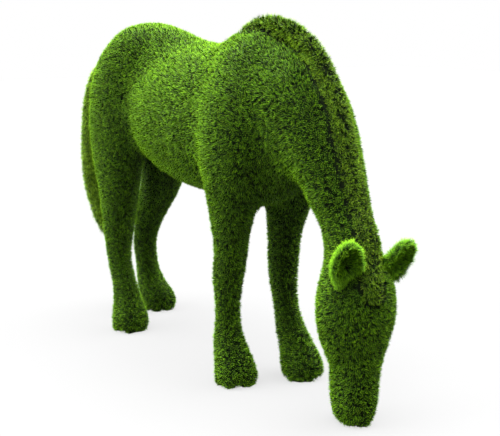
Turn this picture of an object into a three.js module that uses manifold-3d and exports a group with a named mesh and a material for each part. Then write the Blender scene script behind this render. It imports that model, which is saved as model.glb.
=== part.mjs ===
// A life-size grazing horse, a garden topiary figure clad in artificial turf.
// Millimetres, +Z up. The horse faces +X, its left side is +Y, and its feet and nose touch z = 0.
// Every surface is where the tips of the turf pile end.
import * as THREE from "three";
import { LoftGeometry } from "three/addons/geometries/LoftGeometry.js";
import { mergeVertices } from "three/addons/utils/BufferGeometryUtils.js";
import Module from "manifold-3d";

// Driving dimensions. Heights are above the ground, x runs forward from the middle of the horse.
const LEG_SPREAD = 140; // from the middle plane to each leg
const TRUNK_BLEND = 70; // how softly the masses of the trunk run into each other
const LEG_BLEND = 50;
const NECK_BLEND = 110;
const HEAD_BLEND = 60;
const FIT_GAP = 0.3; // between pieces that touch

// The barrel of ribs and belly, and the breast between the forelegs: middle, then half length, width
// and height.
const BARREL = new THREE.Vector3(32, 0, 1090);
const BARREL_HALF = new THREE.Vector3(700, 272, 322);
const BREAST = new THREE.Vector3(362, 0, 1022);
const BREAST_HALF = new THREE.Vector3(265, 185, 256);

// Croup, loins and withers, from the rump forward: x, top, bottom, half width.
const BACK = [
  [-896, 1305, 1110, 70],
  [-820, 1375, 1040, 112],
  [-710, 1446, 972, 165],
  [-588, 1504, 942, 200],
  [-478, 1509, 962, 190],
  [-368, 1496, 1012, 155],
  [-248, 1465, 1052, 125],
  [-128, 1426, 1072, 120],
  [12, 1387, 1072, 135],
  [152, 1410, 1072, 150],
  [262, 1460, 1072, 142],
  [372, 1484, 1072, 130],
];

// Neck, from the withers to the poll: x, z, half depth across the crest and throat, half width.
const NECK = [
  [322, 1172, 288, 155],
  [467, 1195, 260, 165],
  [594, 1177, 212, 173],
  [697, 1097, 166, 162],
  [775, 992, 130, 147],
  [834, 887, 110, 128],
  [889, 782, 98, 109],
  [926, 702, 95, 98],
];

// Head, from the poll down to the lips: x, z, half depth from forehead to jaw, half width.
const HEAD = [
  [932, 682, 98, 92],
  [938, 617, 113, 110],
  [944, 562, 130, 138],
  [954, 507, 139, 163],
  [954, 442, 141, 167],
  [952, 362, 127, 150],
  [956, 287, 114, 114],
  [955, 207, 111, 89],
  [952, 127, 108, 90],
  [955, 55, 98, 84],
];

// Mane, a strip of longer pile from the withers along the crest to the forelock: x, z, half depth,
// half width, and how far it hangs to the right.
const MANE = [
  [217, 1424, 26, 36, 0],
  [262, 1462, 36, 48, 0],
  [317, 1493, 42, 54, 0],
  [407, 1503, 44, 54, 0],
  [502, 1494, 44, 52, 0],
  [592, 1462, 44, 50, 0],
  [672, 1417, 44, 49, 0],
  [734, 1360, 44, 48, 0],
  [789, 1288, 44, 48, 0],
  [837, 1202, 44, 48, 0],
  [870, 1106, 44, 48, 0],
  [894, 1019, 44, 48, 0],
  [918, 947, 44, 48, 0],
  [942, 871, 44, 48, 0],
  [969, 807, 44, 48, 0],
  [1003, 739, 44, 48, 3],
  [1032, 667, 44, 48, 10],
  [1060, 602, 42, 48, 18],
  [1077, 545, 39, 45, 25],
  [1080, 512, 30, 37, 29],
];

// Tail, from the dock to the tip, by the same five numbers.
const TAIL = [
  [-830, 1290, 50, 52, 0],
  [-908, 1305, 52, 56, 10],
  [-957, 1290, 55, 62, 26],
  [-1002, 1230, 60, 72, 46],
  [-1026, 1140, 64, 80, 64],
  [-1036, 1020, 66, 85, 74],
  [-1043, 890, 66, 86, 78],
  [-1051, 780, 65, 84, 78],
  [-1047, 672, 62, 78, 76],
  [-1022, 572, 55, 68, 72],
  [-990, 482, 47, 56, 66],
  [-948, 402, 36, 42, 56],
];

// Ears: a cupped leaf of longer pile, from its root to its tip, with the way its cup faces.
const RIGHT_EAR = {
  root: new THREE.Vector3(1002, -98, 565),
  tip: new THREE.Vector3(1083, -155, 748),
  facing: new THREE.Vector3(1, -0.25, -0.1),
};
const LEFT_EAR = {
  root: new THREE.Vector3(996, 96, 540),
  tip: new THREE.Vector3(1074, 155, 718),
  facing: new THREE.Vector3(1, 0.05, -0.1),
};
const EAR_HALF_WIDTH = 60;
const EAR_BACK = 34; // how far the leaf bulges behind
const EAR_RIM = 36; // how far the rim stands forward
const EAR_CUP = 44; // how deep the cup is pressed in
const EAR_SIDES = 18;
const EAR_RINGS = 12;

// Legs: z, x, half depth, half width, and how far out from the leg line.
const FORELEG = [
  [1302, 327, 130, 92, -30],
  [1182, 372, 165, 122, 10],
  [1062, 392, 175, 134, 28],
  [942, 382, 160, 128, 26],
  [832, 352, 128, 110, 14],
  [712, 330, 100, 90, 4],
  [612, 322, 79, 78, 0],
  [532, 314, 74, 74, 0],
  [442, 300, 70, 71, 0],
  [352, 295, 62, 61, 0],
  [262, 292, 62, 62, 0],
  [177, 302, 72, 72, 0],
  [107, 332, 84, 82, 0],
  [42, 353, 101, 98, 0],
];
const HIND_LEG = [
  [1382, -538, 140, 95, -50],
  [1272, -594, 188, 130, -20],
  [1132, -640, 205, 136, -8],
  [982, -660, 195, 130, -4],
  [832, -673, 158, 112, 0],
  [712, -666, 122, 100, 0],
  [612, -673, 100, 92, 0],
  [512, -680, 84, 82, 0],
  [418, -687, 72, 71, 0],
  [341, -680, 66, 66, 0],
  [259, -650, 64, 64, 0],
  [197, -623, 68, 68, 0],
  [114, -593, 82, 80, 5],
  [44, -568, 102, 99, 10],
];

// How far each of the left legs is ahead of the right one, by height.
const LEFT_FORE_STEP = [
  [12, 110],
  [148, 82],
  [230, 62],
  [312, 36],
  [402, 15],
  [532, 0],
];
const LEFT_HIND_STEP = [
  [12, -225],
  [111, -272],
  [180, -280],
  [267, -265],
  [362, -240],
  [443, -215],
  [535, -175],
  [605, -130],
  [692, -75],
  [912, 0],
];

// How finely the surfaces are made.
const BODY_GRID = new THREE.Vector3(48, 44, 60); // spacing of the points of the body's skin
const BODY_REACH = new THREE.Box3(
  new THREE.Vector3(-1128, -420, -168),
  new THREE.Vector3(1272, 420, 1652),
);
const RINGS_PER_SPAN = 3; // of a limb, between two of its stations
const RELAX_ROUNDS = 3;
const RELAX_SHARE = 0.6; // of the way to the middle of the neighbours
const SETTLE_STEPS = 4;
const SLOPE_STEP = 2; // either side of a point, to find which way the field rises
const FLATTEST_SLOPE = 0.05; // keeps a step short where the field is nearly level
const LEG_NEAR = 200; // a leg further off than this doesn't shape the surface
const TUFT_STEP = 42; // between the rings of mane and tail
const TUFT_SIDES = 14;
const END_RINGS = 3; // rings that round off an end
const END_TIP = 0.12; // the smallest ring, as a share of the full one

const wasm = await Module();
wasm.setup();

// The value that a table of rising [key, value] rows gives at a key, with straight steps between.
function lookUp(table, key) {
  const above = table.findIndex((row) => row[0] >= key);
  if (above === 0) return table[0][1];
  if (above < 0) return table[table.length - 1][1];
  const [[k0, v0], [k1, v1]] = [table[above - 1], table[above]];
  return THREE.MathUtils.mapLinear(key, k0, k1, v0, v1);
}

// A limb is a row of oval stations along a smooth spine.
function limbCurves(stations) {
  return {
    spine: new THREE.CatmullRomCurve3(stations.map((s) => s.at)),
    girth: new THREE.CatmullRomCurve3(stations.map((s) => new THREE.Vector3(s.deep, s.wide, 0))),
  };
}

function stationsOf(rows) {
  return rows.map(([x, z, deep, wide, right = 0]) => {
    return { at: new THREE.Vector3(x, -right, z), deep, wide };
  });
}

// The two axes of a limb's oval, for the way the limb runs: level across the horse, and square to
// both.
function crossAxes(along) {
  const side = new THREE.Vector3(0, 1, 0).addScaledVector(along, -along.y).normalize();
  return { side, depth: new THREE.Vector3().crossVectors(along, side) };
}

// A limb's field is roughly the distance to its skin, below 0 inside: the least of the fields of
// the straight tapered spans between its rings.
function limb(stations) {
  const { spine, girth } = limbCurves(stations);
  const count = (stations.length - 1) * RINGS_PER_SPAN;
  const rings = [];
  for (let i = 0; i <= count; i++) {
    const size = girth.getPoint(i / count);
    rings.push({ at: spine.getPoint(i / count), deep: size.x, wide: size.y });
  }
  const spans = [];
  for (let i = 0; i < count; i++) {
    const from = rings[i];
    const to = rings[i + 1];
    const along = to.at.clone().sub(from.at);
    const length = along.length();
    along.divideScalar(length);
    spans.push({ from, to, along, length, ...crossAxes(along) });
  }
  const box = new THREE.Box3().setFromPoints(rings.map((r) => r.at));
  box.expandByScalar(Math.max(...rings.map((r) => Math.max(r.deep, r.wide))));
  const q = new THREE.Vector3();
  return {
    box,
    distance(p) {
      let best = Infinity;
      for (const s of spans) {
        q.subVectors(p, s.from.at);
        const t = THREE.MathUtils.clamp(q.dot(s.along) / s.length, 0, 1);
        q.addScaledVector(s.along, -t * s.length);
        const deep = THREE.MathUtils.lerp(s.from.deep, s.to.deep, t);
        const wide = THREE.MathUtils.lerp(s.from.wide, s.to.wide, t);
        const end = Math.min(deep, wide);
        const u = q.dot(s.depth) / deep;
        const v = q.dot(s.side) / wide;
        const w = q.dot(s.along) / end;
        const k = Math.hypot(u, v, w);
        const slope = Math.hypot(u / deep, v / wide, w / end);
        const d = slope > 1e-9 ? (k * (k - 1)) / slope : -end;
        if (d < best) best = d;
      }
      return best;
    },
  };
}

// An oval mass, as the same kind of field.
function mass(middle, half) {
  const q = new THREE.Vector3();
  return {
    distance(p) {
      const k = q.subVectors(p, middle).divide(half).length();
      const slope = q.divide(half).length();
      return (k * (k - 1)) / slope;
    },
  };
}

// Two fields joined with a soft crease of the given size.
function blend(a, b, size) {
  const h = Math.max(size - Math.abs(a - b), 0) / size;
  return Math.min(a, b) - (h * h * size) / 4;
}

function back() {
  const stations = BACK.map(([x, top, bottom, wide]) => {
    return { at: new THREE.Vector3(x, 0, (top + bottom) / 2), deep: (top - bottom) / 2, wide };
  });
  return limb(stations);
}

// A leg on one side, -1 for the right and 1 for the left, with its step ahead of the other.
function leg(rows, side, step) {
  const stations = rows.map(([z, x, deep, wide, out]) => {
    const ahead = step ? lookUp(step, z) : 0;
    return { at: new THREE.Vector3(x + ahead, side * (LEG_SPREAD + out), z), deep, wide };
  });
  return limb(stations);
}

const body = {
  barrel: mass(BARREL, BARREL_HALF),
  breast: mass(BREAST, BREAST_HALF),
  back: back(),
  neck: limb(stationsOf(NECK)),
  head: limb(stationsOf(HEAD)),
  legs: [
    leg(FORELEG, -1),
    leg(FORELEG, 1, LEFT_FORE_STEP),
    leg(HIND_LEG, -1),
    leg(HIND_LEG, 1, LEFT_HIND_STEP),
  ],
};

function bodyField(p) {
  let d = blend(body.barrel.distance(p), body.back.distance(p), TRUNK_BLEND);
  d = blend(d, body.breast.distance(p), TRUNK_BLEND);
  d = blend(d, body.neck.distance(p), NECK_BLEND);
  d = blend(d, body.head.distance(p), HEAD_BLEND);
  for (const l of body.legs) {
    if (l.box.distanceToPoint(p) < LEG_NEAR) d = blend(d, l.distance(p), LEG_BLEND);
  }
  return d;
}

// The body's skin is found in the cells of a grid. A cell's corner c stands at x + 2 y + 4 z, each
// of its edges joins two corners, and each of its faces has four.
const CORNERS = [0, 1, 2, 3, 4, 5, 6, 7];
const CELL_EDGES = CORNERS.flatMap((a) => {
  return [1, 2, 4].filter((bit) => !(a & bit)).map((bit) => [a, a | bit]);
});
const CELL_FACES = [1, 2, 4].flatMap((bit) => {
  return [0, bit].map((side) => CORNERS.filter((c) => (c & bit) === side));
});

// How the surface runs through a cell, from which corners are inside: for each edge the number of
// the sheet that crosses it, or -1.
function sheetsIn(inside) {
  const sheet = CELL_EDGES.map(([a, b], e) => (inside[a] === inside[b] ? -1 : e));
  const join = (e, f) => {
    const old = sheet[f];
    sheet.forEach((s, i) => {
      if (s === old) sheet[i] = sheet[e];
    });
  };
  for (const face of CELL_FACES) {
    const crossed = [];
    CELL_EDGES.forEach(([a, b], e) => {
      if (sheet[e] >= 0 && face.includes(a) && face.includes(b)) crossed.push(e);
    });
    if (crossed.length === 2) join(...crossed);
    if (crossed.length === 4) {
      for (const corner of face.filter((c) => inside[c])) {
        join(...crossed.filter((e) => CELL_EDGES[e].includes(corner)));
      }
    }
  }
  return sheet;
}

// Which way the field rises at a point, and how steeply.
function slopeAt(p, field) {
  const slope = new THREE.Vector3();
  const q = p.clone();
  for (const k of ["x", "y", "z"]) {
    q[k] = p[k] + SLOPE_STEP;
    const ahead = field(q);
    q[k] = p[k] - SLOPE_STEP;
    slope[k] = (ahead - field(q)) / (2 * SLOPE_STEP);
    q[k] = p[k];
  }
  return slope;
}

// Moves a point onto the surface in a few steps along the field's slope.
function settle(p, field) {
  for (let i = 0; i < SETTLE_STEPS; i++) {
    const slope = slopeAt(p, field);
    p.addScaledVector(slope, -field(p) / Math.max(slope.lengthSq(), FLATTEST_SLOPE));
  }
  return p;
}

// Evens out a mesh: each point moves towards the middle of its neighbours, then onto the surface.
function relax(positions, faces, field) {
  const sums = [];
  for (let i = 0; i < positions.length / 3; i++) sums.push(new THREE.Vector4(0, 0, 0, 0));
  for (let f = 0; f < faces.length; f += 3) {
    for (let e = 0; e < 3; e++) {
      const from = faces[f + e] * 3;
      const sum = sums[faces[f + ((e + 1) % 3)]];
      sum.add(new THREE.Vector4(positions[from], positions[from + 1], positions[from + 2], 1));
    }
  }
  sums.forEach((sum, i) => {
    const middle = new THREE.Vector3(sum.x, sum.y, sum.z).divideScalar(sum.w);
    const p = new THREE.Vector3().fromArray(positions, i * 3).lerp(middle, RELAX_SHARE);
    settle(p, field).toArray(positions, i * 3);
  });
}

// A closed mesh around where a field is below 0: one vertex for each sheet in each cell, and a
// quad around each grid edge that the surface crosses.
function skin(field, box, step) {
  const size = box.getSize(new THREE.Vector3()).divide(step);
  const n = size.toArray().map((cells) => Math.ceil(cells) + 1);
  const at = (i, j, k) => new THREE.Vector3(i, j, k).multiply(step).add(box.min);
  const index = (i, j, k) => (i * n[1] + j) * n[2] + k;
  const value = new Float32Array(n[0] * n[1] * n[2]);
  const positions = [];
  const faces = [];
  const cells = new Map();

  const cellAt = (i, j, k) => {
    const key = index(i, j, k);
    if (cells.has(key)) return cells.get(key);
    const places = CORNERS.map((c) => [i + (c & 1), j + ((c >> 1) & 1), k + (c >> 2)]);
    const v = places.map((place) => value[index(...place)]);
    const sheet = sheetsIn(v.map((d) => d < 0));
    const vertexOf = new Map();
    for (const s of new Set(sheet.filter((each) => each >= 0))) {
      const crossings = CELL_EDGES.filter((_, e) => sheet[e] === s).map(([a, b]) => {
        return at(...places[a]).lerp(at(...places[b]), v[a] / (v[a] - v[b]));
      });
      const middle = new THREE.Vector3();
      for (const crossing of crossings) middle.addScaledVector(crossing, 1 / crossings.length);
      vertexOf.set(s, positions.length / 3);
      positions.push(...settle(middle, field));
    }
    cells.set(key, { sheet, vertexOf });
    return cells.get(key);
  };

  // The vertex next to a grid edge, in the cell that lies u and v cells back from the edge.
  const vertexBy = (here, axis, u, v) => {
    const offset = [0, 0, 0];
    offset[(axis + 1) % 3] = u;
    offset[(axis + 2) % 3] = v;
    const corner = offset[0] + 2 * offset[1] + 4 * offset[2];
    const { sheet, vertexOf } = cellAt(...here.map((h, a) => h - offset[a]));
    const edge = CELL_EDGES.findIndex(([a, b]) => a === corner && b === (corner | (1 << axis)));
    return vertexOf.get(sheet[edge]);
  };
  const point = (v) => new THREE.Vector3().fromArray(positions, v * 3);
  const addQuad = (a, b, c, d) => {
    if (point(a).distanceTo(point(c)) < point(b).distanceTo(point(d))) faces.push(a, b, c, a, c, d);
    else faces.push(a, b, d, b, c, d);
  };
  const crossEdge = (here, axis) => {
    const next = here.map((h, a) => (a === axis ? h + 1 : h));
    const inside = value[index(...here)] < 0;
    if (inside === value[index(...next)] < 0) return;
    const ring = [
      vertexBy(here, axis, 1, 1),
      vertexBy(here, axis, 0, 1),
      vertexBy(here, axis, 0, 0),
      vertexBy(here, axis, 1, 0),
    ];
    addQuad(...(inside ? ring : ring.reverse()));
  };

  for (let i = 0; i < n[0]; i++) {
    for (let j = 0; j < n[1]; j++) {
      for (let k = 0; k < n[2]; k++) value[index(i, j, k)] = field(at(i, j, k));
    }
  }
  for (let i = 1; i < n[0] - 1; i++) {
    for (let j = 1; j < n[1] - 1; j++) {
      for (let k = 1; k < n[2] - 1; k++) {
        for (let axis = 0; axis < 3; axis++) crossEdge([i, j, k], axis);
      }
    }
  }
  for (let round = 0; round < RELAX_ROUNDS; round++) relax(positions, faces, field);
  const geometry = new THREE.BufferGeometry();
  geometry.setAttribute("position", new THREE.Float32BufferAttribute(positions, 3));
  geometry.setIndex(faces);
  return geometry;
}

// The surface moved outwards by the fit gap.
function grown(geometry) {
  const out = geometry.clone();
  out.computeVertexNormals();
  const { position, normal } = out.attributes;
  const p = new THREE.Vector3();
  const outward = new THREE.Vector3();
  for (let i = 0; i < position.count; i++) {
    outward.fromBufferAttribute(normal, i);
    p.fromBufferAttribute(position, i).addScaledVector(outward, FIT_GAP);
    position.setXYZ(i, p.x, p.y, p.z);
  }
  return out;
}

function solid(geometry) {
  const bare = new THREE.BufferGeometry();
  bare.setAttribute("position", geometry.attributes.position);
  bare.setIndex(geometry.index);
  const merged = mergeVertices(bare, 1e-3);
  const mesh = new wasm.Mesh({
    numProp: 3,
    vertProperties: new Float32Array(merged.attributes.position.array),
    triVerts: new Uint32Array(merged.index.array),
  });
  return new wasm.Manifold(mesh);
}

function geometryOf(made) {
  const mesh = made.getMesh();
  const geometry = new THREE.BufferGeometry();
  geometry.setAttribute("position", new THREE.BufferAttribute(mesh.vertProperties, 3));
  geometry.setIndex(new THREE.BufferAttribute(mesh.triVerts, 1));
  geometry.computeVertexNormals();
  return geometry;
}

// A limb as a tube of oval rings, rounded at both ends. A ring's t is its place along the spine,
// and its share is how much of the full oval it has.
function tuft(rows) {
  const { spine, girth } = limbCurves(stationsOf(rows));
  const length = spine.getLength();
  const startRadius = girth.getPoint(0).x / length;
  const endRadius = girth.getPoint(1).x / length;
  const caps = [];
  for (let i = 0; i <= END_RINGS; i++) {
    const turn = (i / END_RINGS) * (Math.PI / 2);
    caps.push({ inwards: 1 - Math.cos(turn), share: Math.max(Math.sin(turn), END_TIP) });
  }
  const along = caps.map(({ inwards, share }) => ({ t: inwards * startRadius, share }));
  const steps = Math.round(length / TUFT_STEP);
  for (let i = 2; i <= steps - 2; i++) along.push({ t: i / steps, share: 1 });
  caps.reverse();
  for (const { inwards, share } of caps) along.push({ t: 1 - inwards * endRadius, share });

  const sections = along.map(({ t, share }) => {
    const size = girth.getPoint(t);
    const { side, depth } = crossAxes(spine.getTangent(t));
    const ring = [];
    for (let i = 0; i < TUFT_SIDES; i++) {
      const angle = (2 * Math.PI * i) / TUFT_SIDES;
      const p = spine.getPoint(t);
      p.addScaledVector(side, size.y * share * Math.cos(angle));
      ring.push(p.addScaledVector(depth, size.x * share * Math.sin(angle)));
    }
    return ring;
  });
  return new LoftGeometry(sections, { capStart: true, capEnd: true });
}

// A sphere drawn out into a leaf, with its front pushed in as a cup inside a rounded rim.
function ear({ root, tip, facing }) {
  const along = tip.clone().sub(root).normalize();
  const front = facing.clone().addScaledVector(along, -facing.dot(along)).normalize();
  const across = new THREE.Vector3().crossVectors(along, front);
  const geometry = new THREE.SphereGeometry(1, EAR_SIDES, EAR_RINGS);
  const position = geometry.attributes.position;
  const unit = new THREE.Vector3();
  const p = new THREE.Vector3();
  for (let i = 0; i < position.count; i++) {
    const { x, y, z } = unit.fromBufferAttribute(position, i);
    const forward = z > 0 ? EAR_RIM * z - EAR_CUP * z * z : EAR_BACK * z;
    p.lerpVectors(root, tip, (y + 1) / 2);
    p.addScaledVector(across, x * EAR_HALF_WIDTH).addScaledVector(front, forward);
    position.setXYZ(i, p.x, p.y, p.z);
  }
  return geometry;
}

const bodySkin = skin(bodyField, BODY_REACH, BODY_GRID);
const bodyRoom = solid(grown(bodySkin));
const ground = solid(new THREE.BoxGeometry(4000, 2000, 1000).translate(0, 0, -500));

// What is left of a piece outside the body, with the fit gap between them.
function setOnBody(geometry) {
  return solid(geometry).subtract(bodyRoom);
}

function turf(color) {
  return new THREE.MeshStandardMaterial({ color, roughness: 0.9, metalness: 0 });
}

const horse = new THREE.Group();
function addPiece(name, made, material) {
  const mesh = new THREE.Mesh(geometryOf(made), material);
  mesh.name = name;
  horse.add(mesh);
}
addPiece("body", solid(bodySkin).subtract(ground), turf(0x4f8f1c));
addPiece("mane", setOnBody(tuft(MANE)), turf(0x466f1c));
addPiece("tail", setOnBody(tuft(TAIL)), turf(0x557f2c));
addPiece("right_ear", setOnBody(ear(RIGHT_EAR)), turf(0x4f9a14));
addPiece("left_ear", setOnBody(ear(LEFT_EAR)), turf(0x4f9a14));

export default horse;
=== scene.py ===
# %% [markdown]
# # A grazing horse in artificial turf
# The real figure is a light shell in the form of a horse, with artificial grass glued all over it.
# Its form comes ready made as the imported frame. What this file adds is the grass: a dark backing
# just under the surface, and pile that grows out of it as real mesh.

# %% Load the frame
import math

import bpy
import numpy as np
from mathutils import Matrix, Vector


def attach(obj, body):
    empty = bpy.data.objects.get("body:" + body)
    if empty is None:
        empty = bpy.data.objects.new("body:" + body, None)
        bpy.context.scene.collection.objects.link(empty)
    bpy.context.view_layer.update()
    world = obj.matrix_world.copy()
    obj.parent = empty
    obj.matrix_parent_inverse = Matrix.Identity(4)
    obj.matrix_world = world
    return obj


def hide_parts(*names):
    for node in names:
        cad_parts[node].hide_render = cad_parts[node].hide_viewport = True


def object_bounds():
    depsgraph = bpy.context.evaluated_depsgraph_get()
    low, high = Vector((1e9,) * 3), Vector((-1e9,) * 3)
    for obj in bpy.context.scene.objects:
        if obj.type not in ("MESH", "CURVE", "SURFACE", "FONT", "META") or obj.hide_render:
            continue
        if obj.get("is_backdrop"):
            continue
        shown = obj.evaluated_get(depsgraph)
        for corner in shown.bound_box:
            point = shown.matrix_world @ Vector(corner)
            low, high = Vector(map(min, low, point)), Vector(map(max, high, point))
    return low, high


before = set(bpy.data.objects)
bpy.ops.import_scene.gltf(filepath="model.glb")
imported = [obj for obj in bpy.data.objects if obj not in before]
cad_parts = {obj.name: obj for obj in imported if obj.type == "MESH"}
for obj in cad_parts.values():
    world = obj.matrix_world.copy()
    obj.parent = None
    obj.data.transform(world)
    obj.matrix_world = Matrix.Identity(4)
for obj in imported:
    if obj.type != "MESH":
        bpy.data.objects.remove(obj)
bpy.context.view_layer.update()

# %% [markdown]
# The photograph looks down a little on the horse's right front quarter. A camera is easiest to
# place by the point it aims at, the way back from there to the camera, and the distance.

# %% Camera
AIM = Vector((0.087, 0.122, 0.644))
AZIMUTH = math.radians(54.84)  # from the horse's right side towards its front
ELEVATION = math.radians(11.45)
DISTANCE = 4.435  # metres
LENS = 70.8  # millimetres

way_back = Vector((
    math.sin(AZIMUTH) * math.cos(ELEVATION),
    -math.cos(AZIMUTH) * math.cos(ELEVATION),
    math.sin(ELEVATION),
))
bpy.ops.object.camera_add(location=AIM + way_back * DISTANCE)
camera = bpy.context.object
camera.rotation_mode = "QUATERNION"
camera.rotation_quaternion = (-way_back).to_track_quat("-Z", "Y")
camera.data.lens = LENS
bpy.context.scene.camera = camera
print("The camera stands at", [round(v, 2) for v in camera.location])

# %% [markdown]
# Node trees are quicker to write and read as expressions. A Wire is one output socket, and
# arithmetic on it adds Math nodes. Every other node comes from Maker.add, which sets the node's
# own settings first and then fills its sockets with values or links.

# %% A socket that does arithmetic
class Wire:
    """An output socket of a node tree."""

    def __init__(self, maker, socket):
        self.maker = maker
        self.socket = socket

    def math(self, operation, first, second):
        return self.maker.add("ShaderNodeMath", {"operation": operation}, {0: first, 1: second})

    def __add__(self, other):
        return self.math("ADD", self, other)

    def __radd__(self, other):
        return self.math("ADD", other, self)

    def __sub__(self, other):
        return self.math("SUBTRACT", self, other)

    def __rsub__(self, other):
        return self.math("SUBTRACT", other, self)

    def __mul__(self, other):
        return self.math("MULTIPLY", self, other)

    def __rmul__(self, other):
        return self.math("MULTIPLY", other, self)

    def __pow__(self, other):
        return self.math("POWER", self, other)

    def __lt__(self, other):
        return self.math("LESS_THAN", self, other)


# %% A maker of nodes
class Maker:
    """Adds nodes to a node tree."""

    def __init__(self, tree):
        self.tree = tree

    def add(self, kind, settings=None, sockets=None, output=0):
        node = self.tree.nodes.new(kind)
        for name, value in (settings or {}).items():
            if name == "stops":
                self.set_stops(node.color_ramp, value)
            else:
                setattr(node, name, value)
        for key, value in (sockets or {}).items():
            if isinstance(value, Wire):
                self.tree.links.new(value.socket, node.inputs[key])
            else:
                node.inputs[key].default_value = value
        return Wire(self, node.outputs[output])

    def set_stops(self, ramp, stops):
        while len(ramp.elements) < len(stops):
            ramp.elements.new(0.5)
        for element, (place, colour) in zip(ramp.elements, stops):
            element.position = place
            element.color = (*colour, 1)

    def part(self, vector, letter):
        """The X, Y or Z of a vector."""
        return self.add("ShaderNodeSeparateXYZ", {}, {0: vector}, letter)

    def mixed(self, share, first, second):
        """Two colours mixed: a share of 0 gives the first, and 1 the second."""
        return self.add("ShaderNodeMix", {"data_type": "RGBA"}, {0: share, 6: first, 7: second}, 2)


print("Wire and Maker are ready")

# %% [markdown]
# Colours are easiest to judge as the numbers that a paint program shows, from 0 to 255. Blender
# works in linear light, so each is converted once.

# %% Colours
def linear(red, green, blue):
    """A colour given from 0 to 255, as Blender's linear numbers."""
    shares = [v / 255 for v in (red, green, blue)]
    return tuple(s / 12.92 if s <= 0.04045 else ((s + 0.055) / 1.055) ** 2.4 for s in shares)


MAT_GREEN = linear(16, 30, 4)
MAT_DARK = linear(8, 16, 2)
print("The turf's backing is", [round(v, 4) for v in MAT_GREEN])

# %% [markdown]
# Each blade's colour has painted shade at the root, where little light comes between the blades,
# and painted light at the tip, where thin fibre glows as light passes through it. Each blade has a
# place of its own on a small palette. Along V it runs from the root, 0, to the tip, 1, and its place
# on U says which of the many shades of fibre it has. A picture could hold that palette, but a few
# ramps give it without one, and each is easy to change.

# %% How a turf fibre is coloured
PILE_MAP = "OFBake"
ROOT_SHADE_FADE = 2.2  # the higher, the further up the painted shade of the root reaches
# painted light at the tip: how late along the blade it comes on, and how much of it
TIP_LIGHT_FADE = 4.0
TIP_LIGHT_SHARE = 0.7
FIBRE_ROUGHNESS = 0.5
DULL = 0.1  # specular level of what hardly shines


def new_material(name):
    material = bpy.data.materials.new(name)
    material.use_nodes = True
    shader = material.node_tree.nodes["Principled BSDF"]
    return material, Maker(material.node_tree), shader


def pile_material(name, root, fibres, tip):
    """Turf fibre. fibres is the ramp of body colours, root its painted shade, tip its painted light."""
    material, maker, shader = new_material(name)
    place = maker.add("ShaderNodeUVMap", {"uv_map": PILE_MAP})
    along = maker.part(place, "Y")
    fibre = maker.add("ShaderNodeValToRGB", {"stops": fibres}, {0: maker.part(place, "X")})
    # painted shade towards the root
    shaded_lower = maker.mixed(along ** ROOT_SHADE_FADE, (*root, 1), fibre)
    # painted light towards the tip
    colour = maker.mixed(TIP_LIGHT_SHARE * along ** TIP_LIGHT_FADE, shaded_lower, (*tip, 1))
    material.node_tree.links.new(colour.socket, shader.inputs["Base Color"])
    shader.inputs["Roughness"].default_value = FIBRE_ROUGHNESS
    shader.inputs["Specular IOR Level"].default_value = DULL
    return material


# %% [markdown]
# The body's turf is a plain green with yellow in it. The mane's is more olive and the tail's is paler
# still. The ears' is the brightest, with painted light that lifts the fronts of their cups, which the
# suns hardly reach. In each, root is painted shade and tip painted light. All four are named as their
# slots in the record.

# %% The four kinds of turf
TURF = {
    "short_turf": pile_material(
        "short_turf",
        root=linear(5, 14, 1),
        fibres=[
            (0.0, linear(44, 104, 8)),
            (0.35, linear(78, 160, 10)),
            (0.7, linear(110, 202, 18)),
            (1.0, linear(154, 234, 36)),
        ],
        tip=linear(196, 244, 30),
    ),
    "mane_turf": pile_material(
        "mane_turf",
        root=linear(8, 16, 3),
        fibres=[
            (0.0, linear(78, 132, 14)),
            (0.4, linear(114, 186, 24)),
            (0.8, linear(150, 222, 38)),
            (1.0, linear(190, 240, 64)),
        ],
        tip=linear(200, 240, 40),
    ),
    "tail_turf": pile_material(
        "tail_turf",
        root=linear(14, 24, 4),
        fibres=[
            (0.0, linear(96, 152, 20)),
            (0.5, linear(130, 200, 30)),
            (1.0, linear(168, 232, 50)),
        ],
        tip=linear(200, 240, 50),
    ),
    # painted light: lighter than the body's turf, for the shaded fronts of the ears
    "ear_turf": pile_material(
        "ear_turf",
        root=linear(14, 32, 3),
        fibres=[
            (0.0, linear(90, 172, 12)),
            (0.5, linear(126, 216, 18)),
            (1.0, linear(164, 246, 30)),
        ],
        tip=linear(192, 252, 44),
    ),
}
print("Kinds of turf:", list(TURF))

# %% [markdown]
# Under the pile lies the mat that the fibres are stitched into. Only its darkness shows, between
# the blades, so spots of noise on Object coordinates are enough for its stitches.

# %% The mat under the pile
STITCH_SCALE = 90.0  # spots in a metre, about
MAT_ROUGHNESS = 0.9

backing_material, maker, shader = new_material("turf_backing")
stitches = maker.add("ShaderNodeTexCoord", output="Object")
spots = maker.add("ShaderNodeTexNoise", {}, {"Vector": stitches, "Scale": STITCH_SCALE})
weave = maker.add("ShaderNodeValToRGB", {"stops": [(0.4, MAT_DARK), (0.62, MAT_GREEN)]}, {0: spots})
backing_material.node_tree.links.new(weave.socket, shader.inputs["Base Color"])
shader.inputs["Roughness"].default_value = MAT_ROUGHNESS
shader.inputs["Specular IOR Level"].default_value = DULL
print("Materials:", [m.name for m in bpy.data.materials])

# %% [markdown]
# A turf blade is a thin ribbon that narrows to its tip. Each blade starts as a three-cornered disc,
# the smallest face there is, drawn out to a spike and stood up in edit mode. Its along and side
# attributes say where on the blade a corner is. The map is made from them later.

# %% One blade
def deselect():
    bpy.ops.object.select_all(action="DESELECT")


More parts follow.
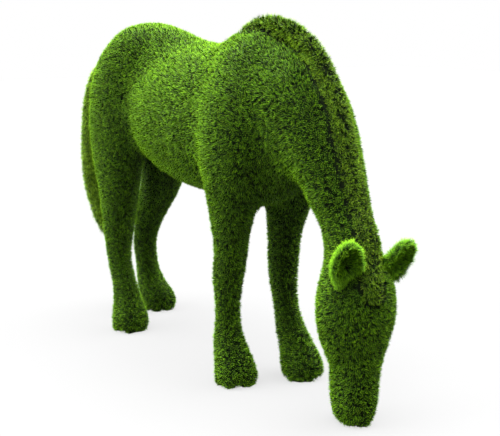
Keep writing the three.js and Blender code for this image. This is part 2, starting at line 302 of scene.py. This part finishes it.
def make_blade(length, width):
    """One blade at the origin that stands on +Z, with its face towards -Y."""
    bpy.ops.mesh.primitive_circle_add(vertices=3, radius=1, fill_type="NGON")
    blade = bpy.context.object
    mesh = blade.data
    low = min(v.co.y for v in mesh.vertices)
    high = max(v.co.y for v in mesh.vertices)
    along = [(v.co.y - low) / (high - low) for v in mesh.vertices]
    side = [math.copysign(1, v.co.x) if a < 0.5 else 0 for v, a in zip(mesh.vertices, along)]
    mesh.attributes.new("along", "FLOAT", "POINT").data.foreach_set("value", along)
    mesh.attributes.new("side", "FLOAT", "POINT").data.foreach_set("value", side)
    bpy.ops.object.mode_set(mode="EDIT")
    bpy.ops.mesh.select_all(action="SELECT")
    bpy.ops.transform.translate(value=(0, -low, 0))
    bpy.ops.transform.resize(
        value=(width / math.sqrt(3), length / (high - low), 1), center_override=(0, 0, 0)
    )
    bpy.ops.transform.rotate(value=-math.pi / 2, orient_axis="X", center_override=(0, 0, 0))
    bpy.ops.object.mode_set(mode="OBJECT")
    return blade


# %% [markdown]
# A tuft is a few blades that leave the same stitch at different angles. Its blades stand round a
# ring, each tipped outwards and twisted by chance, and each has a small difference of shade of its
# own. A few different tufts are enough: among thousands, turned by chance, no repeat shows.

# %% A tuft of blades
SHORTEST_BLADE = 0.7  # as a share of the tuft's height
OWN_SHADE = 0.3  # the most that a blade's shade differs from its tuft's
UNEVEN = 0.3  # the most that a blade strays from its place round the ring, in steps
LEAST = 0.3  # the least share of spread and of lean that a blade gets
TWIST = 0.6  # radians


def make_tuft(name, rng, blades, width, spread, lean):
    """A tuft one unit high. spread is how far apart the roots are, and lean how far each tips."""
    made = []
    for i in range(blades):
        blade = make_blade(rng.uniform(SHORTEST_BLADE, 1.0), width)
        own = [rng.uniform(-OWN_SHADE, OWN_SHADE)] * 3
        blade.data.attributes.new("own", "FLOAT", "POINT").data.foreach_set("value", own)
        turn = 2 * math.pi * (i + rng.uniform(-UNEVEN, UNEVEN)) / blades
        root = spread * rng.uniform(LEAST, 1.0)
        blade.data.transform(
            Matrix.Translation((root * math.cos(turn), root * math.sin(turn), 0))
            @ Matrix.Rotation(turn, 4, "Z")
            @ Matrix.Rotation(lean * rng.uniform(LEAST, 1.0), 4, "Y")
            @ Matrix.Rotation(math.pi / 2 + rng.uniform(-TWIST, TWIST), 4, "Z")
        )
        made.append(blade)
    deselect()
    for blade in made:
        blade.select_set(True)
    bpy.context.view_layer.objects.active = made[0]
    bpy.ops.object.join()
    tuft = bpy.context.object
    tuft.name = name
    return tuft


# %% Short and long tufts
VARIANTS = 6


def make_tufts(name, seed, **shape):
    """A collection of different tufts, for the scatter to pick from."""
    rng = np.random.default_rng(seed)
    kept = bpy.data.collections.new(name)
    for i in range(VARIANTS):
        tuft = make_tuft(f"{name}_{i}", rng, **shape)
        for home in list(tuft.users_collection):
            home.objects.unlink(tuft)
        kept.objects.link(tuft)
    return kept


short_tufts = make_tufts("short_tuft", seed=1, blades=5, width=0.22, spread=0.20, lean=0.5)
long_tufts = make_tufts("long_tuft", seed=2, blades=9, width=0.13, spread=0.10, lean=0.5)

# %% [markdown]
# The pile is about 18 mm high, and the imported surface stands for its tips. So the backing is the
# packed surface, sunk by a little less than that, because the blades lean and differ in length. The
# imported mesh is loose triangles, so a copy is merged first and then rounded by subdivision.

# %% Reading and moving corners
def read(mesh, kind):
    """The places or normals of a mesh's corners as rows."""
    source, name = (mesh.vertices, "co") if kind == "co" else (mesh.vertex_normals, "vector")
    found = np.zeros(len(mesh.vertices) * 3, np.float32)
    source.foreach_get(name, found)
    return found.reshape(-1, 3).astype(float)


def place(mesh, points):
    mesh.vertices.foreach_set("co", points.astype(np.float32).ravel())
    mesh.update()


def area_of(mesh):
    return sum(p.area for p in mesh.polygons)


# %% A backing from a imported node
def merge(piece):
    """Joins corners that lie on one another, so that loose triangles become one surface."""
    deselect()
    piece.select_set(True)
    bpy.context.view_layer.objects.active = piece
    bpy.ops.object.mode_set(mode="EDIT")
    bpy.ops.mesh.select_all(action="SELECT")
    bpy.ops.mesh.remove_doubles(threshold=1e-5)
    bpy.ops.object.mode_set(mode="OBJECT")


def make_backing(node):
    """The node's surface, merged and rounded."""
    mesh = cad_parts[node].data.copy()
    backing = bpy.data.objects.new(f"{node}_backing", mesh)
    bpy.context.scene.collection.objects.link(backing)
    merge(backing)
    round_off = backing.modifiers.new("round_off", "SUBSURF")
    round_off.levels = 1
    round_off.render_levels = 1
    bpy.ops.object.modifier_apply(modifier=round_off.name)
    bpy.ops.object.shade_smooth()
    backing.data.materials.clear()
    backing.data.materials.append(backing_material)
    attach(backing, "root")
    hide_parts(node)
    return backing


# %% [markdown]
# Where the mane and the tail lie on the body, its backing isn't sunk, so that it meets them and no
# light shows between. To know where that is, each corner's height over the other piece is measured
# by the nearest point on it. The soles stay flat, a hair's breadth over the floor.

# %% Body backing
BODY_INSET = 0.0125  # metres, as all lengths here
SOLE = 0.003  # what is lower than this is a sole
FLOOR_GAP = 0.001
BARE_FROM = 0.015  # this far from mane and tail, the backing is sunk in full


def height_over(surface, points, sure=0.06):
    """How far each point is outside a closed surface. Inside, the number is below 0.

    Only near the surface does the nearest face tell inside from outside.
    """
    heights = np.zeros(len(points))
    for i, point in enumerate(points):
        _, near, normal, _ = surface.closest_point_on_mesh(Vector(point))
        away = Vector(point) - near
        side = away.dot(normal) if away.length < sure else 1.0
        heights[i] = math.copysign(away.length, side)
    return heights


body_backing = make_backing("body")
points = read(body_backing.data, "co")
normals = read(body_backing.data, "normal")
soles = points[:, 2] < SOLE
bare = np.ones(len(points))
for node in ("mane", "tail"):
    bare = np.minimum(bare, np.clip(height_over(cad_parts[node], points) / BARE_FROM, 0, 1))
points -= normals * BODY_INSET * bare[:, None]
points[soles, 2] = FLOOR_GAP
place(body_backing.data, points)
print("The body's backing has", round(area_of(body_backing.data), 2), "square metres")

# %% [markdown]
# Mane and tail are thin, so their backings are drawn in towards the line that they follow, rather
# than sunk along their normals, which could cross. The tail's line is the middle of its solid. The
# mane's runs up to 15 mm to the right of its solid's middle, where the real mane has its crest. The
# nearest point of a line is found span by span, as the foot of the way to it.

# %% The lines of mane and tail
MANE_LINE = [
    (0.217, 0, 1.424), (0.317, 0, 1.493), (0.407, 0, 1.503), (0.502, 0.002, 1.494),
    (0.592, 0.004, 1.462), (0.672, 0.003, 1.417), (0.734, -0.002, 1.36), (0.789, -0.008, 1.288),
    (0.837, -0.012, 1.202), (0.87, -0.014, 1.106), (0.894, -0.015, 1.019), (0.942, -0.015, 0.871),
    (1.003, -0.016, 0.739), (1.032, -0.018, 0.667), (1.06, -0.022, 0.602), (1.08, -0.029, 0.512),
]
TAIL_LINE = [
    (-0.83, 0, 1.29), (-0.908, -0.01, 1.305), (-0.957, -0.026, 1.29), (-1.002, -0.046, 1.23),
    (-1.026, -0.064, 1.14), (-1.036, -0.074, 1.02), (-1.043, -0.078, 0.89), (-1.051, -0.078, 0.78),
    (-1.047, -0.076, 0.672), (-1.022, -0.072, 0.572), (-0.99, -0.066, 0.482),
    (-0.948, -0.056, 0.402),
]


def nearest_on(line, points):
    """For each point, the nearest place on a line of straight spans, and the way it runs there."""
    line = np.array(line, float)
    best = np.full(len(points), np.inf)
    place_at = np.zeros_like(points)
    runs = np.zeros_like(points)
    for a, b in zip(line[:-1], line[1:]):
        way = b - a
        t = np.clip((points - a) @ way / (way @ way), 0, 1)
        foot = a + t[:, None] * way
        away = np.linalg.norm(points - foot, axis=1)
        closer = away < best
        best[closer] = away[closer]
        place_at[closer] = foot[closer]
        runs[closer] = way / np.linalg.norm(way)
    return place_at, runs


for name, line in (("mane", MANE_LINE), ("tail", TAIL_LINE)):
    spans = zip(line[:-1], line[1:])
    print("The", name, "is", round(sum(math.dist(a, b) for a, b in spans), 2), "metres long")

# %% Drawing in and rooting
MOST_DRAWN = 0.55  # the most that a backing is drawn in, as a share of its distance to the line
ROOTED = 0.03  # what is nearer to the body than this is drawn in less
SUNK = 0.003  # how deep a root sits in the body's backing
MANE_DRAWN = 0.021
MANE_REACH = 0.04
UNDERSIDE = -0.2  # a normal that agrees with the body's less than this is the mane's underside
TAIL_DRAWN = 0.022


def draw_in(backing, line, depth):
    """Brings a backing nearer to its line, but leaves what is rooted in the body where it is."""
    points = read(backing.data, "co")
    core, _ = nearest_on(line, points)
    away = points - core
    far = np.linalg.norm(away, axis=1)
    depth = depth * np.clip(height_over(body_backing, points) / ROOTED, 0, 1)
    share = np.clip(1 - depth / np.maximum(far, 1e-6), 1 - MOST_DRAWN, 1)
    place(backing.data, core + away * share[:, None])


def root_in_body(backing, reach, turned=1.0):
    """Sinks what is close to the body's backing into it.

    turned is the most that a point's normal may agree with the body's. Below 0, only the
    underside is sunk.
    """
    points = read(backing.data, "co")
    normals = read(backing.data, "normal")
    for i, point in enumerate(points):
        _, near, normal, _ = body_backing.closest_point_on_mesh(Vector(point))
        away = (Vector(point) - near).length
        if away < reach and normal.dot(Vector(normals[i])) < turned:
            points[i] = near - normal * SUNK
    place(backing.data, points)


mane_backing = make_backing("mane")
draw_in(mane_backing, MANE_LINE, MANE_DRAWN)
root_in_body(mane_backing, MANE_REACH, turned=UNDERSIDE)
tail_backing = make_backing("tail")
draw_in(tail_backing, TAIL_LINE, TAIL_DRAWN)
for backing in (mane_backing, tail_backing):
    print(backing.name, round(area_of(backing.data), 3), "square metres")

# %% [markdown]
# An ear is a shallow cup. Its backing is sunk all round, and its front is then brought forwards, so
# that the cup stays shallow under its long pile. facing is the way that the cup opens.

# %% Ear backings
EAR_PLACES = {
    "right": {"root": (1.002, -0.098, 0.565), "tip": (1.083, -0.155, 0.748), "facing": (1, -0.25, -0.1)},
    "left": {"root": (0.996, 0.096, 0.54), "tip": (1.074, 0.155, 0.718), "facing": (1, 0.05, -0.1)},
}
EAR_INSET = 0.010
EAR_FILL = 0.016  # how far the front of the cup is brought forwards
EAR_REACH = 0.0245  # what is nearer to the body than this is rooted in it

ears = {}
for side, ear in EAR_PLACES.items():
    backing = make_backing(f"{side}_ear")
    points = read(backing.data, "co")
    normals = read(backing.data, "normal")
    facing = np.array(Vector(ear["facing"]).normalized())
    front = np.clip(normals @ facing, 0, 1)
    points += facing * front[:, None] * EAR_FILL - normals * EAR_INSET
    place(backing.data, points)
    root_in_body(backing, EAR_REACH)
    ears[side] = backing
    print(backing.name, round(area_of(backing.data), 3), "square metres")

# %% [markdown]
# Grass is too much to place by hand, and a particle system would be lost when the model is
# exported. So the pile is scattered by geometry nodes and made real at the end. In such a tree a
# value can differ from point to point: it may come from the mesh, from chance or from noise.

# %% Values that differ from point to point
class FieldMaker(Maker):
    """Adds geometry nodes."""

    def named(self, name, kind="FLOAT"):
        """An attribute of the mesh."""
        return self.add("GeometryNodeInputNamedAttribute", {"data_type": kind}, {"Name": name})

    def store(self, geometry, name, value, kind, domain):
        """The geometry with one more attribute."""
        settings = {"data_type": kind, "domain": domain}
        sockets = {"Geometry": geometry, "Name": name, "Value": value}
        return self.add("GeometryNodeStoreNamedAttribute", settings, sockets)

    def chance(self, low, high, seed):
        sockets = {2: low, 3: high, "Seed": seed}
        return self.add("FunctionNodeRandomValue", {"data_type": "FLOAT"}, sockets, 1)

    def vectors(self, operation, first, second, output=0):
        settings = {"operation": operation}
        return self.add("ShaderNodeVectorMath", settings, {0: first, 1: second}, output)

    def scaled(self, vector, factor):
        return self.add("ShaderNodeVectorMath", {"operation": "SCALE"}, {0: vector, 3: factor})

    def grain(self, scale, detail=2.0):
        """Noise that drifts over the surface, from 0 to 1 in each of its three parts."""
        where = self.add("GeometryNodeInputPosition")
        sockets = {"Vector": where, "Scale": scale, "Detail": detail}
        return self.add("ShaderNodeTexNoise", {}, sockets, "Color")


# %% [markdown]
# First come the stitches: points strewn at random, but never nearer to each other than the gap.
# Each tuft stands on the surface's normal, combed one way, a little astray, and swirled in drifts
# as worn turf is. Last it is spun on its stem, so that no two neighbours are the same.

# %% Where tufts stand, and which way
CROWDING = 0.75  # points tried in a square as wide as the gap


def sow(maker, backing, gap, seed):
    """The stitches, and the surface's normal at each."""
    sockets = {
        "Mesh": backing,
        "Distance Min": gap,
        "Density Max": CROWDING / gap ** 2,
        "Density Factor": maker.named("cover"),
        "Seed": seed,
    }
    spread = {"distribute_method": "POISSON"}
    points = maker.add("GeometryNodeDistributePointsOnFaces", spread, sockets)
    normal = Wire(maker, points.socket.node.outputs["Normal"])
    shine = maker.named("shine", "FLOAT_VECTOR")
    return maker.store(points, "up", shine, "FLOAT_VECTOR", "POINT"), normal


def lean(maker, normal, stray, swirl, seed):
    """How each tuft is turned. swirl is the scale of the drifts and their strength."""
    scale, strength = swirl
    jitter = maker.add(
        "FunctionNodeRandomValue",
        {"data_type": "FLOAT_VECTOR"},
        {0: (-stray, -stray, -stray), 1: (stray, stray, stray), "Seed": seed + 1},
    )
    drift = maker.vectors("SUBTRACT", maker.grain(scale), (0.5, 0.5, 0.5))
    way = maker.vectors("ADD", normal, maker.named("comb", "FLOAT_VECTOR"))
    way = maker.vectors("ADD", way, jitter)
    way = maker.vectors("ADD", way, maker.scaled(drift, strength))
    stand = maker.add("FunctionNodeAlignRotationToVector", {"axis": "Z"}, {"Vector": way})
    turn = {"Axis": (0, 0, 1), "Angle": maker.chance(0, 2 * math.pi, seed + 2)}
    spin = maker.add("FunctionNodeAxisAngleToRotation", {}, turn)
    sockets = {"Rotation": stand, "Rotate By": spin}
    return maker.add("FunctionNodeRotateRotation", {"rotation_space": "LOCAL"}, sockets)


# %% [markdown]
# Turf clumps: where fibres stand close they hold each other up and catch the light, and between
# lie dark hollows. One fine noise therefore makes a tuft both taller and lighter: painted light on
# the taller tufts and painted shade on the lower ones. A broader one adds the slow change of tone
# from patch to patch.

# %% Tufts on their stitches
CLUMP_SCALE = 150.0
CLUMP_HEIGHT = 1.1
CLUMP_PAINTED_LIGHT = 2.0
PATCH_SCALE = 14.0
PATCH_SHADE = 0.8
BASE_SHADE = 0.1
SHORTEST = 0.75
TALLEST = 1.15


def plant(maker, points, turned, tufts, height, seed):
    """A tuft on each stitch, with its height and shade."""
    clump = maker.part(maker.grain(CLUMP_SCALE, 1.0), "X") - 0.5
    tall = height * maker.named("tall") * maker.chance(SHORTEST, TALLEST, seed + 3)
    tall = tall * (1.0 + CLUMP_HEIGHT * clump)
    size = maker.add("ShaderNodeCombineXYZ", {}, {0: height, 1: height, 2: tall})
    pick = maker.add(
        "GeometryNodeCollectionInfo",
        {},
        {"Collection": tufts, "Separate Children": True, "Reset Children": True},
    )
    placed = maker.add(
        "GeometryNodeInstanceOnPoints",
        {},
        {"Points": points, "Instance": pick, "Pick Instance": True, "Rotation": turned, "Scale": size},
    )
    patch = maker.part(maker.grain(PATCH_SCALE, 3.0), "X")
    # painted light and shade by clump, on top of a tone that changes from patch to patch
    shade = PATCH_SHADE * patch + CLUMP_PAINTED_LIGHT * clump + BASE_SHADE
    shaded = maker.store(placed, "shade", shade, "FLOAT", "INSTANCE")
    return maker.add("GeometryNodeRealizeInstances", {}, {"Geometry": shaded})


# %% [markdown]
# Light passes through real blades and bounces between them, so a patch of turf is lit much as its
# surface is, not as thousands of small upright walls. Here each blade is turned to face outwards
# first. Then its normal is bent from its own towards the one that its piece asks for, which the up
# attribute holds. So the form of the horse reads clearly, and the blades still differ.

# %% How the blades take the light
OWN_NORMAL = 0.6  # how much the blade's own normal counts, where the surface's counts as 1


def light(maker, blades):
    """The blades, faced outwards and with normals near to the surface's."""
    up = maker.named("up", "FLOAT_VECTOR")
    flat = maker.add("GeometryNodeInputNormal", output="True Normal")
    rise = maker.vectors("DOT_PRODUCT", flat, up, "Value")
    faced = maker.add("GeometryNodeFlipFaces", {}, {0: blades, "Selection": rise < 0.0})
    flat = maker.add("GeometryNodeInputNormal", output="True Normal")
    bent = maker.vectors("ADD", up, maker.scaled(flat, OWN_NORMAL))
    free = {"mode": "FREE", "domain": "CORNER"}
    lit = maker.add("GeometryNodeSetMeshNormal", free, {0: faced})
    custom = [i for i in lit.socket.node.inputs if i.type == "VECTOR" and i.enabled][0]
    maker.tree.links.new(bent.socket, custom)
    return lit


# %% [markdown]
# The place on the palette is the tuft's shade with the blade's own on top, kept off both ends. The
# two root corners lie a little apart there, so that the blade has an area on its map. Whatever
# would pass through the floor is held above it.

# %% The map, and the floor
BLADE_ON_MAP = 0.004  # half the width of a blade's root on the map
SHADE_MARGIN = 0.01


def colour(maker, blades):
    """The blades with their place on the palette as a map."""
    shade = maker.named("shade") + maker.named("own")
    limits = {0: shade, 1: SHADE_MARGIN, 2: 1 - SHADE_MARGIN}
    across = maker.add("ShaderNodeClamp", {}, limits) + BLADE_ON_MAP * maker.named("side")
    uv = maker.add("ShaderNodeCombineXYZ", {}, {0: across, 1: maker.named("along")})
    return maker.store(blades, PILE_MAP, uv, "FLOAT2", "CORNER")


def hold_up(maker, blades):
    where = maker.add("GeometryNodeInputPosition")
    x, y, z = [maker.part(where, letter) for letter in "XYZ"]
    above = z.math("MAXIMUM", z, FLOOR_GAP)
    held = maker.add("ShaderNodeCombineXYZ", {}, {0: x, 1: y, 2: above})
    sockets = {"Geometry": blades, "Position": held}
    return maker.add("GeometryNodeSetPosition", {}, sockets)


# %% From a backing to its pile
def scatter_tree(tufts, gap, height, stray, swirl, seed):
    """Geometry nodes that turn a backing into its pile."""
    tree = bpy.data.node_groups.new("scatter", "GeometryNodeTree")
    tree.interface.new_socket("Geometry", in_out="INPUT", socket_type="NodeSocketGeometry")
    tree.interface.new_socket("Geometry", in_out="OUTPUT", socket_type="NodeSocketGeometry")
    maker = FieldMaker(tree)
    points, normal = sow(maker, maker.add("NodeGroupInput"), gap, seed)
    turned = lean(maker, normal, stray, swirl, seed)
    blades = plant(maker, points, turned, tufts, height, seed)
    pile = hold_up(maker, colour(maker, light(maker, blades)))
    end = tree.nodes.new("NodeGroupOutput")
    tree.links.new(pile.socket, end.inputs[0])
    return tree


def write(mesh, name, values):
    """Keeps one number, or three, for each corner of a mesh."""
    flat = values.ndim == 1
    attribute = mesh.attributes.new(name, "FLOAT" if flat else "FLOAT_VECTOR", "POINT")
    attribute.data.foreach_set("value" if flat else "vector", values.astype(np.float32).ravel())


def grow(backing, name, slot, comb, shine, cover=1.0, tall=1.0, **how):
    """Pile on a backing, as a mesh piece of its own.

    comb is the way it is brushed, shine the normal that it takes the light by, cover how densely
    it stands, and tall its height as a share of the full one.
    """
    deselect()
    pile = bpy.data.objects.new(name, backing.data.copy())
    bpy.context.scene.collection.objects.link(pile)
    bpy.context.view_layer.objects.active = pile
    pile.select_set(True)
    every = np.ones(len(pile.data.vertices))
    write(pile.data, "cover", every * cover)
    write(pile.data, "tall", every * tall)
    write(pile.data, "comb", comb)
    write(pile.data, "shine", shine)
    scatter = pile.modifiers.new("scatter", "NODES")
    scatter.node_group = scatter_tree(**how)
    bpy.ops.object.modifier_apply(modifier=scatter.name)
    pile.data.materials.clear()
    pile.data.materials.append(TURF[slot])
    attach(pile, "root")
    print(name, len(pile.data.polygons), "blades")


# %% [markdown]
# The body wears one short turf. It is made as four panels, so that each piece stays small enough to
# handle. Where two meet, one thins out as the other thickens, and no seam shows. The nap leans back
# and down, as on a horse. A groove is left along mane and tail, and the soles are bare.

# %% Panels, groove and soles
OVERLAP = 0.02
GROOVE_BY_MANE = 0.02
GROOVE_BY_TAIL = 0.012
FACES_DOWN = -0.7  # a normal lower than this
PANELS = {
    "pile_hindquarters": (-math.inf, -0.46),
    "pile_barrel": (-0.46, 0.13),
    "pile_forequarters": (0.13, 0.52),
    "pile_neck_and_head": (0.52, math.inf),
}


def between(values, low, high):
    """1 from low to high, and a short slope to 0 on either side."""
    up = np.clip((values - low) / OVERLAP + 0.5, 0, 1)
    down = np.clip((values - high) / OVERLAP + 0.5, 0, 1)
    return up - down


def clear_of(piece, points, gap):
    """0 for points within gap of a piece, and 1 for all others."""
    near = np.zeros(len(points), bool)
    for i, point in enumerate(points):
        near[i] = piece.closest_point_on_mesh(Vector(point), distance=gap)[0]
    return 1.0 - near


points = read(body_backing.data, "co")
normals = read(body_backing.data, "normal")
groove = clear_of(mane_backing, points, GROOVE_BY_MANE)
groove *= clear_of(tail_backing, points, GROOVE_BY_TAIL)
not_sole = 1.0 - ((points[:, 2] < SOLE + FLOOR_GAP) & (normals[:, 2] < FACES_DOWN))
print("Bare corners of the body's backing:", int((groove * not_sole < 1).sum()))

# %% Body pile
PILE = 0.018
NAP = np.array([-0.15, 0.0, -0.2])

comb = NAP - normals * (normals @ NAP)[:, None]
for turn, (name, (low, high)) in enumerate(PANELS.items()):
    cover = between(points[:, 0], low, high) * not_sole * groove
    grow(
        body_backing, name, "short_turf", comb, normals, cover=cover,
        tufts=short_tufts, gap=0.0052, height=PILE, stray=0.3, swirl=(110.0, 0.8), seed=10 * turn,
    )

# %% [markdown]
# The mane is a band of longer and coarser pile that lies down along the neck. It parts at its
# crest: to either side the tufts lean outwards, and those on the left are cut shorter. Towards its
# edges the pile gets lower and thinner, so that it seems to grow out of the neck.

# %% Mane pile
MANE_PILE = 0.028
COMBED_DOWN = 0.6
COMBED_OUT = 0.3
PARTING = 0.012  # half the width in which the tufts change sides
FULL_HEIGHT_AT = 0.016  # over the body
EDGE_HEIGHT = 0.6
LEFT_SHORTER = 0.3
EDGE_FADE = 0.01

points = read(mane_backing.data, "co")
core, runs = nearest_on(MANE_LINE, points)
to_left = np.clip((points[:, 1] - core[:, 1]) / PARTING, -1, 1)
comb = COMBED_DOWN * runs
comb[:, 1] += COMBED_OUT * to_left
heights = height_over(body_backing, points)
tall = np.clip(heights / FULL_HEIGHT_AT, EDGE_HEIGHT, 1)
tall *= 1.0 - LEFT_SHORTER * np.clip(to_left, 0, 1)
cover = np.clip(heights / EDGE_FADE + 0.5, 0, 1)
grow(
    mane_backing, "mane_pile", "mane_turf", comb, read(mane_backing.data, "normal"),
    cover=cover, tall=tall,
    tufts=long_tufts, gap=0.0066, height=MANE_PILE, stray=0.5, swirl=(60.0, 2.0), seed=60,
)

# %% [markdown]
# The tail's pile is as long, but smooth: it is combed down its length. Its normals are turned up a
# little, because fibres that hang catch light from above that a wall as steep wouldn't.

# %% Tail pile
TAIL_PILE = 0.028
TAIL_COMB = 0.8
TAIL_SHINE = np.array([0.0, 0.0, 0.45])

_, runs = nearest_on(TAIL_LINE, read(tail_backing.data, "co"))
shine = read(tail_backing.data, "normal") + TAIL_SHINE
grow(
    tail_backing, "tail_pile", "tail_turf", TAIL_COMB * runs, shine,
    tufts=long_tufts, gap=0.0052, height=TAIL_PILE, stray=0.3, swirl=(60.0, 1.2), seed=70,
)

# %% [markdown]
# An ear's fibres stand out all round like those of a brush. They fan away from a hub inside the
# cup, flattened from front to back. Their normals are mostly one way, forwards, to the right and
# up, for both ears: such long loose fibres glow in the light rather than shade each other.

# %% Ear piles
EAR_PILE = 0.027
EAR_COMB = 1.4
EAR_SHINE = np.array([0.5, -0.45, 0.55])
FAN_SHINE = 0.4  # how much each fibre's own way counts beside that
HUB_UP = 0.45  # of the way from root to tip
HUB_BACK = 0.008
FLATTENED = 0.5

for side, backing in ears.items():
    root, tip, facing = (Vector(EAR_PLACES[side][name]) for name in ("root", "tip", "facing"))
    hub = root.lerp(tip, HUB_UP) - facing.normalized() * HUB_BACK
    away = read(backing.data, "co") - np.array(hub)
    ahead = np.array(facing.normalized())
    away -= FLATTENED * ahead * (away @ ahead)[:, None]
    away /= np.linalg.norm(away, axis=1)[:, None]
    grow(
        backing, f"{side}_ear_pile", "ear_turf", EAR_COMB * away, FAN_SHINE * away + EAR_SHINE,
        tufts=long_tufts, gap=0.0046, height=EAR_PILE, stray=0.3, swirl=(60.0, 1.0), seed=80,
    )

# %% [markdown]
# The photograph has a white studio with a soft shadow under the horse. A grey floor that glows
# comes out white where light falls on it and keeps a pale shadow. A white floor would also light
# the belly, which is dark, so this one throws no light back on the turf.

# %% Floor
FLOOR_SIZE = 40.0
FLOOR_GREY = 0.075
FLOOR_ROUGHNESS = 0.9
FLOOR_GLOW = 0.70

bpy.ops.mesh.primitive_plane_add(size=FLOOR_SIZE)
floor = bpy.context.object
floor.name = "floor"
floor_material, _, shader = new_material("white_floor")
shader.inputs["Base Color"].default_value = (FLOOR_GREY, FLOOR_GREY, FLOOR_GREY, 1)
shader.inputs["Roughness"].default_value = FLOOR_ROUGHNESS
shader.inputs["Specular IOR Level"].default_value = 0.0
shader.inputs["Emission Color"].default_value = (1, 1, 1, 1)
shader.inputs["Emission Strength"].default_value = FLOOR_GLOW
floor.data.materials.append(floor_material)
floor.visible_diffuse = False
floor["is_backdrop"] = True
print("The floor's grey is", FLOOR_GREY, "and its glow", FLOOR_GLOW)

# %% [markdown]
# The backdrop is a white world that the camera sees, but that lights nothing. All the light comes
# from wide soft suns: a strong one overhead, which leaves the undersides dark, two weaker ones from
# the horse's right, one of them behind it, and one from its left, which lights the neck's far edge.

# %% World and suns
SUNS = {  # the way to each, its strength, and its width in degrees
    "overhead": ((0.0, 0.0, 1.0), 10.5, 64),
    "side": ((-0.576, -0.817, 0.5), 3.8, 60),
    "flank": ((0.35, -1.0, 0.25), 1.6, 110),
    "far_side": ((0.3, 1.0, 0.6), 3.0, 60),
}

world = bpy.data.worlds.new("studio")
bpy.context.scene.world = world
world.use_nodes = True
background = world.node_tree.nodes["Background"]
background.inputs["Color"].default_value = (1, 1, 1, 1)
background.inputs["Strength"].default_value = 1.0
world.cycles_visibility.diffuse = False
world.cycles_visibility.glossy = False

for name, (way, strength, width) in SUNS.items():
    turn = Vector(way).to_track_quat("Z", "Y").to_euler()
    bpy.ops.object.light_add(type="SUN", rotation=turn)
    sun = bpy.context.object
    sun.name = name
    sun.data.energy = strength
    sun.data.angle = math.radians(width)
print("Suns:", list(SUNS))

# %% [markdown]
# The Standard view shows the colours as they were picked. Last, the dressed horse's box is printed.
# Grass may stand only a little proud of the form that the horse was given.

# %% View and sizes
bpy.context.scene.view_settings.view_transform = "Standard"

low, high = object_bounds()
print("visual box", [round(v, 3) for v in low], [round(v, 3) for v in high])
